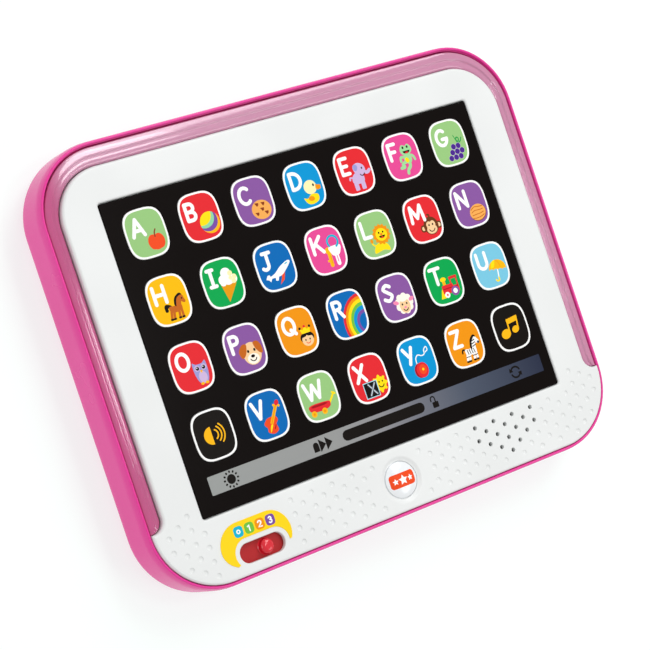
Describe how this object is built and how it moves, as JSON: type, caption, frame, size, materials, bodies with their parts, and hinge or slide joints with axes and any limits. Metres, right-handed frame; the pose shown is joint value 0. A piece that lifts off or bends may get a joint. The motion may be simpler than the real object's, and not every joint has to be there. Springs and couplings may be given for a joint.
{
  "type": "toy tablet",
  "caption": "Toddler's toy tablet: pink casing with a clear rim, white face, black screen of round-cornered picture keys, home button, speaker grille and red level switch.",
  "frame": {"origin": "middle of the footprint, on the back face that it lies on", "axes": "+X to the right of the screen, +Y to the top of the screen, +Z out of the screen"},
  "size_m": [0.2484, 0.198, 0.0297],
  "materials": {
    "pink_shell": "gloss",
    "white_bezel": "satin",
    "clear_pink": "clear tinted, gloss",
    "black_panel": "gloss",
    "silicone": "matt",
    "board_green": "satin",
    "button_white": "gloss",
    "red_plastic": "gloss",
    "yellow_label": "printed film",
    "speaker_steel": "satin",
    "speaker_paper": "matt",
    "zinc_steel": "satin",
    "cell_sleeve": "gloss sleeve",
    "key_apple_green": "printed, satin",
    "key_red": "printed, satin",
    "key_purple": "printed, satin",
    "key_sky_blue": "printed, satin",
    "key_pink": "printed, satin",
    "key_amber": "printed, satin",
    "key_green": "printed, satin",
    "key_blue": "printed, satin",
    "key_orange": "printed, satin",
    "key_pale_blue": "printed, satin",
    "key_black": "printed, satin"
  },
  "bodies": {
    "casing": {"rear_shell": "pink_shell", "front_bezel": "white_bezel", "light_rim": "clear_pink", "key_panel": "black_panel", "switch_membrane": "silicone", "circuit_board": "board_green", "lower_board": "board_green", "home_button_dome": "silicone", "slide_switch": "black_panel", "level_label": "yellow_label", "speaker_frame": "speaker_steel", "speaker_cone": "speaker_paper", "speaker_magnet": "speaker_steel", "case_screw_1": "zinc_steel", "case_screw_2": "zinc_steel", "case_screw_3": "zinc_steel", "case_screw_4": "zinc_steel", "case_screw_5": "zinc_steel", "case_screw_6": "zinc_steel", "battery_1": "cell_sleeve", "battery_2": "cell_sleeve", "battery_3": "cell_sleeve", "contact_spring_1": "zinc_steel", "contact_spring_2": "zinc_steel", "contact_spring_3": "zinc_steel", "battery_contact_left": "zinc_steel", "battery_contact_right": "zinc_steel"},
    "battery_door": {"battery_door": "pink_shell", "battery_door_screw": "zinc_steel"},
    "home_button": {"home_button": "button_white"},
    "level_slider": {"level_slider": "red_plastic"},
    "key_a": {"key_a": "key_apple_green"},
    "key_b": {"key_b": "key_red"},
    "key_c": {"key_c": "key_purple"},
    "key_d": {"key_d": "key_sky_blue"},
    "key_e": {"key_e": "key_red"},
    "key_f": {"key_f": "key_pink"},
    "key_g": {"key_g": "key_apple_green"},
    "key_h": {"key_h": "key_amber"},
    "key_i": {"key_i": "key_green"},
    "key_j": {"key_j": "key_blue"},
    "key_k": {"key_k": "key_pink"},
    "key_l": {"key_l": "key_apple_green"},
    "key_m": {"key_m": "key_red"},
    "key_n": {"key_n": "key_purple"},
    "key_o": {"key_o": "key_red"},
    "key_p": {"key_p": "key_purple"},
    "key_q": {"key_q": "key_orange"},
    "key_r": {"key_r": "key_blue"},
    "key_s": {"key_s": "key_purple"},
    "key_t": {"key_t": "key_green"},
    "key_u": {"key_u": "key_pale_blue"},
    "key_sound": {"key_sound": "key_black"},
    "key_v": {"key_v": "key_blue"},
    "key_w": {"key_w": "key_apple_green"},
    "key_x": {"key_x": "key_red"},
    "key_y": {"key_y": "key_sky_blue"},
    "key_z": {"key_z": "key_orange"},
    "key_music": {"key_music": "key_black"}
  },
  "joints": [
    {"name": "battery_door_swing", "type": "hinge", "parent": "casing", "child": "battery_door", "pos_m": [0, -0.02585, 0.00115], "axis": [-1, 0, 0], "range_deg": [0, 100]},
    {"name": "home_button_press", "type": "slide", "parent": "casing", "child": "home_button", "axis": [0, 0, -1], "range_m": [0, 0.0014], "stiffness_N_per_m": 600, "springref_m": -0.0008, "deforming": ["home_button_dome"]},
    {"name": "level_slide", "type": "slide", "parent": "casing", "child": "level_slider", "axis": [1, 0, 0], "range_m": [-0.0092, 0.0046]},
    {"name": "key_a_press", "type": "slide", "parent": "casing", "child": "key_a", "axis": [0, 0, -1], "range_m": [0, 0.0008], "stiffness_N_per_m": 500, "springref_m": -0.0006},
    {"name": "key_b_press", "type": "slide", "parent": "casing", "child": "key_b", "axis": [0, 0, -1], "range_m": [0, 0.0008], "stiffness_N_per_m": 500, "springref_m": -0.0006},
    {"name": "key_c_press", "type": "slide", "parent": "casing", "child": "key_c", "axis": [0, 0, -1], "range_m": [0, 0.0008], "stiffness_N_per_m": 500, "springref_m": -0.0006},
    {"name": "key_d_press", "type": "slide", "parent": "casing", "child": "key_d", "axis": [0, 0, -1], "range_m": [0, 0.0008], "stiffness_N_per_m": 500, "springref_m": -0.0006},
    {"name": "key_e_press", "type": "slide", "parent": "casing", "child": "key_e", "axis": [0, 0, -1], "range_m": [0, 0.0008], "stiffness_N_per_m": 500, "springref_m": -0.0006},
    {"name": "key_f_press", "type": "slide", "parent": "casing", "child": "key_f", "axis": [0, 0, -1], "range_m": [0, 0.0008], "stiffness_N_per_m": 500, "springref_m": -0.0006},
    {"name": "key_g_press", "type": "slide", "parent": "casing", "child": "key_g", "axis": [0, 0, -1], "range_m": [0, 0.0008], "stiffness_N_per_m": 500, "springref_m": -0.0006},
    {"name": "key_h_press", "type": "slide", "parent": "casing", "child": "key_h", "axis": [0, 0, -1], "range_m": [0, 0.0008], "stiffness_N_per_m": 500, "springref_m": -0.0006},
    {"name": "key_i_press", "type": "slide", "parent": "casing", "child": "key_i", "axis": [0, 0, -1], "range_m": [0, 0.0008], "stiffness_N_per_m": 500, "springref_m": -0.0006},
    {"name": "key_j_press", "type": "slide", "parent": "casing", "child": "key_j", "axis": [0, 0, -1], "range_m": [0, 0.0008], "stiffness_N_per_m": 500, "springref_m": -0.0006},
    {"name": "key_k_press", "type": "slide", "parent": "casing", "child": "key_k", "axis": [0, 0, -1], "range_m": [0, 0.0008], "stiffness_N_per_m": 500, "springref_m": -0.0006},
    {"name": "key_l_press", "type": "slide", "parent": "casing", "child": "key_l", "axis": [0, 0, -1], "range_m": [0, 0.0008], "stiffness_N_per_m": 500, "springref_m": -0.0006},
    {"name": "key_m_press", "type": "slide", "parent": "casing", "child": "key_m", "axis": [0, 0, -1], "range_m": [0, 0.0008], "stiffness_N_per_m": 500, "springref_m": -0.0006},
    {"name": "key_n_press", "type": "slide", "parent": "casing", "child": "key_n", "axis": [0, 0, -1], "range_m": [0, 0.0008], "stiffness_N_per_m": 500, "springref_m": -0.0006},
    {"name": "key_o_press", "type": "slide", "parent": "casing", "child": "key_o", "axis": [0, 0, -1], "range_m": [0, 0.0008], "stiffness_N_per_m": 500, "springref_m": -0.0006},
    {"name": "key_p_press", "type": "slide", "parent": "casing", "child": "key_p", "axis": [0, 0, -1], "range_m": [0, 0.0008], "stiffness_N_per_m": 500, "springref_m": -0.0006},
    {"name": "key_q_press", "type": "slide", "parent": "casing", "child": "key_q", "axis": [0, 0, -1], "range_m": [0, 0.0008], "stiffness_N_per_m": 500, "springref_m": -0.0006},
    {"name": "key_r_press", "type": "slide", "parent": "casing", "child": "key_r", "axis": [0, 0, -1], "range_m": [0, 0.0008], "stiffness_N_per_m": 500, "springref_m": -0.0006},
    {"name": "key_s_press", "type": "slide", "parent": "casing", "child": "key_s", "axis": [0, 0, -1], "range_m": [0, 0.0008], "stiffness_N_per_m": 500, "springref_m": -0.0006},
    {"name": "key_t_press", "type": "slide", "parent": "casing", "child": "key_t", "axis": [0, 0, -1], "range_m": [0, 0.0008], "stiffness_N_per_m": 500, "springref_m": -0.0006},
    {"name": "key_u_press", "type": "slide", "parent": "casing", "child": "key_u", "axis": [0, 0, -1], "range_m": [0, 0.0008], "stiffness_N_per_m": 500, "springref_m": -0.0006},
    {"name": "key_sound_press", "type": "slide", "parent": "casing", "child": "key_sound", "axis": [0, 0, -1], "range_m": [0, 0.0008], "stiffness_N_per_m": 500, "springref_m": -0.0006},
    {"name": "key_v_press", "type": "slide", "parent": "casing", "child": "key_v", "axis": [0, 0, -1], "range_m": [0, 0.0008], "stiffness_N_per_m": 500, "springref_m": -0.0006},
    {"name": "key_w_press", "type": "slide", "parent": "casing", "child": "key_w", "axis": [0, 0, -1], "range_m": [0, 0.0008], "stiffness_N_per_m": 500, "springref_m": -0.0006},
    {"name": "key_x_press", "type": "slide", "parent": "casing", "child": "key_x", "axis": [0, 0, -1], "range_m": [0, 0.0008], "stiffness_N_per_m": 500, "springref_m": -0.0006},
    {"name": "key_y_press", "type": "slide", "parent": "casing", "child": "key_y", "axis": [0, 0, -1], "range_m": [0, 0.0008], "stiffness_N_per_m": 500, "springref_m": -0.0006},
    {"name": "key_z_press", "type": "slide", "parent": "casing", "child": "key_z", "axis": [0, 0, -1], "range_m": [0, 0.0008], "stiffness_N_per_m": 500, "springref_m": -0.0006},
    {"name": "key_music_press", "type": "slide", "parent": "casing", "child": "key_music", "axis": [0, 0, -1], "range_m": [0, 0.0008], "stiffness_N_per_m": 500, "springref_m": -0.0006}
  ]
}
